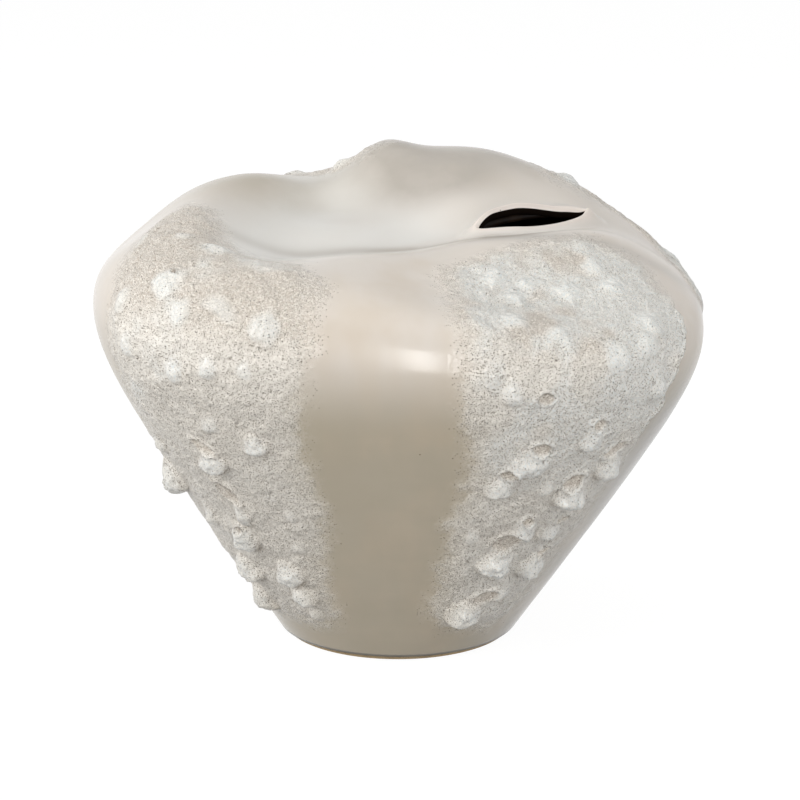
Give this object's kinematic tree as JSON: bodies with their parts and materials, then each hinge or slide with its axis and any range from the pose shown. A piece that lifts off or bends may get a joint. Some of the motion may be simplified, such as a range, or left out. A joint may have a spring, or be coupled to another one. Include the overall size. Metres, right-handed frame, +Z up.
{
  "type": "pillow vase",
  "caption": "Cushion-shaped stoneware vase with a small round foot, a dished closed top, a slit mouth and patches of foamed glaze.",
  "frame": {"origin": "middle of the foot ring, on the table that the vase stands on", "axes": "+Z up, -Y towards the viewer, +X to the right along the long side of the plan"},
  "size_m": [0.3147, 0.261, 0.2474],
  "materials": {
    "bare_clay": "unglazed, matt",
    "glazed_clay": "stoneware under glaze",
    "satin_glaze": "satin to glossy, warm white",
    "liner_glaze": "dark, glossy inside",
    "crust_glaze": "foamed, pitted and rough",
    "blister_glaze": "smooth bluish white blisters"
  },
  "bodies": {
    "root": {"foot_ring": "bare_clay", "floor_disc": "glazed_clay", "bowl_wall": "glazed_clay", "cushion_top": "glazed_clay", "mouth_collar": "glazed_clay", "wall_glaze": "satin_glaze", "top_glaze": "satin_glaze", "lip_glaze": "satin_glaze", "bowl_liner": "liner_glaze", "top_liner": "liner_glaze", "crust_front_left": "crust_glaze", "crust_front_right": "crust_glaze", "crust_back_right": "crust_glaze", "crust_back_left": "crust_glaze", "blisters_front_left": "blister_glaze", "blisters_front_right": "blister_glaze", "blisters_back_right": "blister_glaze", "blisters_back_left": "blister_glaze"}
  },
  "joints": []
}
